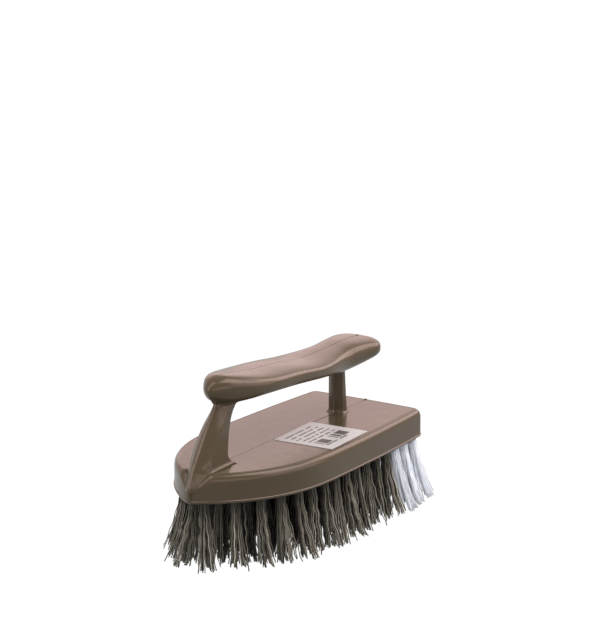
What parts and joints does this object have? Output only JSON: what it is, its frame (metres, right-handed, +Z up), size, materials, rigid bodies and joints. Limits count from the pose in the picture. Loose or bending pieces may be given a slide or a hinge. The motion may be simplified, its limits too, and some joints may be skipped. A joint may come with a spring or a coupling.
{
  "type": "tile brush",
  "caption": "Iron-shaped hand scrubbing brush: a pointed plastic block with a bridge grip on a raked front post and an upright rear post, and rows of stiff bristles below.",
  "frame": {"origin": "the middle of the bounding box's underside, in the plane of the bristle tips that the brush stands on", "axes": "+X from the pointed nose to the blunt rear end, +Z up from the bristle tips to the grip, Y across the block"},
  "size_m": [0.1504, 0.0744, 0.0843],
  "materials": {
    "taupe_plastic": "smooth moulded polypropylene, opaque pinkish taupe, glossy",
    "label_paper": "white coated paper, satin",
    "taupe_filament": "crimped olive-grey plastic filament, satin",
    "white_filament": "crimped white plastic filament, satin"
  },
  "bodies": {
    "root": {"moulded_body": "taupe_plastic", "price_label": "label_paper", "taupe_row_01": "taupe_filament", "taupe_row_02": "taupe_filament", "taupe_row_03": "taupe_filament", "taupe_row_04": "taupe_filament", "taupe_row_05": "taupe_filament", "taupe_row_06": "taupe_filament", "taupe_row_07": "taupe_filament", "taupe_row_08": "taupe_filament", "taupe_row_09": "taupe_filament", "taupe_row_10": "taupe_filament", "taupe_row_11": "taupe_filament", "taupe_row_12": "taupe_filament", "taupe_row_13": "taupe_filament", "white_row_01": "white_filament", "white_row_02": "white_filament", "white_row_03": "white_filament"}
  },
  "joints": []
}
